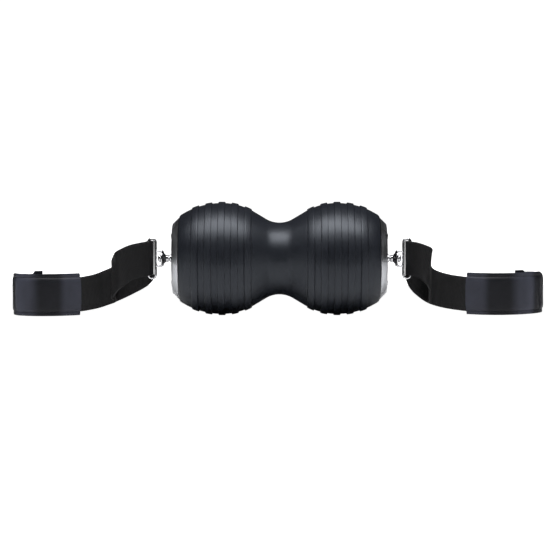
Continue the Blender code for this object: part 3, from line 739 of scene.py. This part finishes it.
# ---- Grips
# A sleeve of coated neoprene folded round the webbing's far end and sewn along both edges.
# The two panels are crowned between the hems; the hems are flat lips with a row of stitches.
grip_cloth, nodes, links, shader = new_material("coated_neoprene", (0.02, 0.021, 0.03), 0.5, specular=0.22)
shader.inputs["Sheen Weight"].default_value = 0.04
shader.inputs["Sheen Roughness"].default_value = 0.4
place = place_of(nodes)
worn = noise(nodes, links, place, 70, 4)
shine(nodes, links, shader, worn, 0.42, 0.58)
# Painted reflection and shade: the coating's colour is paler near the grip's start and just before the
# fold, and darker between and from the fold on, in place of real reflections.
uv = nodes.new("ShaderNodeUVMap")
uv.uv_map = "weave"
along_grip = nodes.new("ShaderNodeSeparateXYZ")
links.new(uv.outputs["UV"], along_grip.inputs["Vector"])
painted_reflection_ramp = nodes.new("ShaderNodeValToRGB")
painted_reflection_ramp.color_ramp.interpolation = "EASE"
painted_reflection_tones = [(0.0, 0.04), (0.12, 0.036), (0.2, 0.009), (0.33, 0.008)]
painted_reflection_tones += [(0.45, 0.046), (0.54, 0.06), (0.6, 0.012), (1.0, 0.014)]
painted_reflection_ramp.color_ramp.elements[1].position = 1.0
for at in painted_reflection_tones[1:-1]:
    painted_reflection_ramp.color_ramp.elements.new(at[0])
for stop, (at, tone) in zip(painted_reflection_ramp.color_ramp.elements, painted_reflection_tones):
    stop.color = (tone, tone * 1.06, tone * 1.45, 1)
links.new(along_grip.outputs["Y"], painted_reflection_ramp.inputs["Fac"])
# The painted reflection ramp, multiplied by a random mottle, becomes the base colour.
mottled_painted_reflection = nodes.new("ShaderNodeMix")
mottled_painted_reflection.data_type = "RGBA"
mottled_painted_reflection.blend_type = "MULTIPLY"
mottled_painted_reflection.inputs["Factor"].default_value = 1.0
links.new(painted_reflection_ramp.outputs["Color"], mottled_painted_reflection.inputs["A"])
links.new(tinted(nodes, links, worn, (0.8, 0.8, 0.8), (1.15, 1.15, 1.15)), mottled_painted_reflection.inputs["B"])
links.new(mottled_painted_reflection.outputs["Result"], shader.inputs["Base Color"])
skin = noise(nodes, links, place, 1500, 3)
relief(nodes, links, shader, skin, 0.00006, 0.12)

GRIP_HALF = 21.0 * MM
CROWN_HALF = 17.0 * MM
SEAM_LINE = 17.2 * MM
HEM_FOOT = 16.6 * MM
GRIP_SPANS = {"left": (10, 18), "right": (11, 20)}
# Folds as (share of the run, depth, slant of its line, bow of its line), in millimetres.
FOLDS = {
    "left": [(0.565, 1.0, 0.0, 1.8), (0.7, 0.7, 0.6, 0.0), (0.8, 0.6, -0.5, 0.0)],
    "right": [(0.625, 1.0, 2.6, 0.6), (0.7, 0.8, 1.0, 0.0), (0.83, 0.6, -0.6, 0.0)],
}
# How far the upper hem is pressed down, as (share of the run, millimetres).
PRESSED = {
    "left": [(0, 0), (0.6, 0.1), (0.68, 1.0), (0.78, 3.0), (0.915, 3.0), (0.935, 0.1), (1, 0)],
    "right": [(0, 0), (0.66, 0), (0.72, 2.6), (0.79, 3.0), (0.85, 1.6), (0.915, 1.6), (0.935, 0), (1, 0)],
}
hem_rows = [(0.35, 21.0), (1.15, 20.75), (1.35, 19.4), (1.3, 17.9)]
hem_rows += [(0.98, 17.35), (1.0, 17.05), (1.55, 16.6)]
crown_rows = [(2.15, 15.2), (2.5, 13.0), (2.7, 9.5), (2.78, 5.0), (2.8, 0.0)]
quarter = [(a * MM, z * MM) for a, z in hem_rows + crown_rows]
outer_section = quarter + [(a, -z) for a, z in quarter[-2::-1]]
outer_section += [(-a, -z) for a, z in quarter] + [(-a, z) for a, z in quarter[-2::-1]]
tunnel_half = WEB_WIDTH / 2 + 0.25 * MM
tunnel_rows = [tunnel_half * k / 6 for k in range(-6, 7)]
tunnel = [(-1.1 * MM, z) for z in tunnel_rows] + [(1.1 * MM, z) for z in tunnel_rows[::-1]]


def level_lay(path):
    """(matrix, run) at each inner point of an open path, held level at the grips' middle height."""
    found, run = [], 0.0
    for before, centre, after in zip(path, path[1:], path[2:]):
        centre = Vector((centre.x, centre.y, GRIP_HALF))
        along = after - before
        along.z = 0
        along.normalize()
        turn = Matrix((Vector((0, 0, 1)).cross(along), Vector((0, 0, 1)), along)).transposed().to_4x4()
        if found:
            run += (centre - found[-1][0].translation).length
        found.append((Matrix.Translation(centre) @ turn, run))
    return found


def between(knots, at):
    """The value at a place among (place, value) knots, eased between them."""
    for (a, low), (b, high) in zip(knots, knots[1:]):
        if at <= b:
            t = (at - a) / (b - a)
            return low + (high - low) * t * t * (3 - 2 * t)
    return knots[-1][1]


def sewn_shape(local, run, total, side, end):
    """Where a point of the flat grip, (off the middle, up, along), goes in the sewn and folded one."""
    crown = max(0.0, 1 - (local.y / CROWN_HALF) ** 2)
    fade = min(1.0, min(run, total - run) / (9 * MM))
    push = -0.55 * MM * (1 - fade) * crown
    push -= 1.3 * MM * crown * math.exp(-(((run / total - 0.7) / 0.1) ** 2))
    for share, depth, slant, bow in FOLDS[side]:
        line = share * total - slant * MM * local.y / CROWN_HALF + bow * MM * crown
        off = (run - line) / (1.5 * MM)
        push -= depth * MM * math.exp(-off * off) * crown**0.5
        push += 0.35 * MM * math.exp(-((abs(off) - 2.2) ** 2)) * crown
    if abs(local.y) > SEAM_LINE:
        local.x += 0.16 * MM * math.sin(run / (7 * MM) + end) + 0.1 * MM * math.sin(run / (3.1 * MM))
    local.x += math.copysign(1, local.x) * push
    if local.y > HEM_FOOT:
        pressed = between(PRESSED[side], run / total) * MM
        local.y = HEM_FOOT + (local.y - HEM_FOOT) * (1 - pressed / (GRIP_HALF - HEM_FOOT))
    if run < 5 * MM:
        local.z -= 1.2 * MM * (1 - run / (5 * MM)) * (1 - (local.y / GRIP_HALF) ** 2)
    return local


stitch_thread, nodes, links, shader = new_material("dark_thread", (0.02, 0.02, 0.024), 0.6)
shine(nodes, links, shader, noise(nodes, links, place_of(nodes), 3000, 2), 0.5, 0.7)

for side, end in ENDS:
    begin, stop = (STEPS_A_STRETCH * k for k in GRIP_SPANS[side])
    lay = level_lay(routes[side][begin - 1 : stop + 2])
    total = lay[-1][1]
    bm = bmesh.new()
    outer_first, outer_last = drawn_band(bm, outer_section, lay, False)
    inner_first, inner_last = drawn_band(bm, tunnel, lay, False)
    bmesh.ops.bridge_loops(bm, edges=outer_first + inner_first)
    bmesh.ops.bridge_loops(bm, edges=outer_last + inner_last)
    run_layer = bm.verts.layers.float["run"]
    frame_at = {run: matrix for matrix, run in lay}
    stations = sorted(frame_at)
    for v in bm.verts:
        run = min(stations, key=lambda r: abs(r - v[run_layer]))
        matrix = frame_at[run]
        local = matrix.inverted() @ v.co
        if abs(local.x) < 1.2 * MM and abs(local.y) < tunnel_half + 0.1 * MM:
            continue
        v.co = matrix @ sewn_shape(local, run, total, side, end)
    map_weave(bm, total * 4, 1.0, 1 / total)
    grip = finished(
        f"grip_{side}", bm, grip_cloth, f"{side}_handle", "grip_pad",
        f"grip_outer_{side}", f"grip_inner_{side}", sharp=50,
    )
    threads = bmesh.new()
    count = int(total / (3.2 * MM))
    for i in range(count):
        run = (i + 0.5) * total / count
        matrix = frame_at[min(stations, key=lambda r: abs(r - run))]
        for face in (-1, 1):
            for up in (-SEAM_LINE, SEAM_LINE):
                stitch = bmesh.ops.create_icosphere(threads, subdivisions=1, radius=0.22 * MM)["verts"]
                bmesh.ops.scale(threads, vec=(1, 1, 4.6), verts=stitch)
                bmesh.ops.transform(
                    threads, matrix=matrix @ Matrix.Translation((face * 1.0 * MM, up, 0)), verts=stitch
                )
    finished(f"grip_stitches_{side}", threads, stitch_thread, f"{side}_handle", "grip_pad", sharp=80)

# ---- Works inside the core
# Carried over from the design as they are: moulded core halves, motor with its eccentric weights,
# cells in their holder, board, leads and fasteners. Each kind gets its own shop finish.
brass, nodes, links, shader = new_material("turned_brass", (0.7, 0.5, 0.22), 0.3, 1.0)
shine(nodes, links, shader, noise(nodes, links, place_of(nodes), 600, 3), 0.22, 0.4)

board_green, nodes, links, shader = new_material("solder_mask", (0.02, 0.16, 0.06), 0.45)
tracks = noise(nodes, links, place_of(nodes), 420, 1)
coat(nodes, links, shader, tracks, (0.012, 0.11, 0.045), (0.035, 0.22, 0.09))

cell_wrap, nodes, links, shader = new_material("shrink_wrap", (0.03, 0.12, 0.4), 0.3)
shine(nodes, links, shader, noise(nodes, links, place_of(nodes), 200, 2), 0.22, 0.38)

insulation, nodes, links, shader = new_material("lead_insulation", (0.4, 0.02, 0.02), 0.45)
shine(nodes, links, shader, noise(nodes, links, place_of(nodes), 500, 2), 0.38, 0.52)

works = {
    "core_front core_rear button_switch battery_holder": plastic,
    "motor_mount": soft_grey,
    "pin_washer_left pin_washer_right pin_nut_left pin_nut_right motor rotor_shaft": steel,
    "eccentric_weight_left eccentric_weight_right board_screw_1 board_screw_2 board_screw_3": steel,
    "motor_bush_left motor_bush_right board_spacer_1 board_spacer_2 board_spacer_3": brass,
    "control_board": board_green,
    "battery_cell_1 battery_cell_2": cell_wrap,
    "battery_lead motor_lead": insulation,
}
for names, finish in works.items():
    for name in names.split():
        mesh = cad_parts[name].data
        mesh.materials.clear()
        mesh.materials.append(finish)
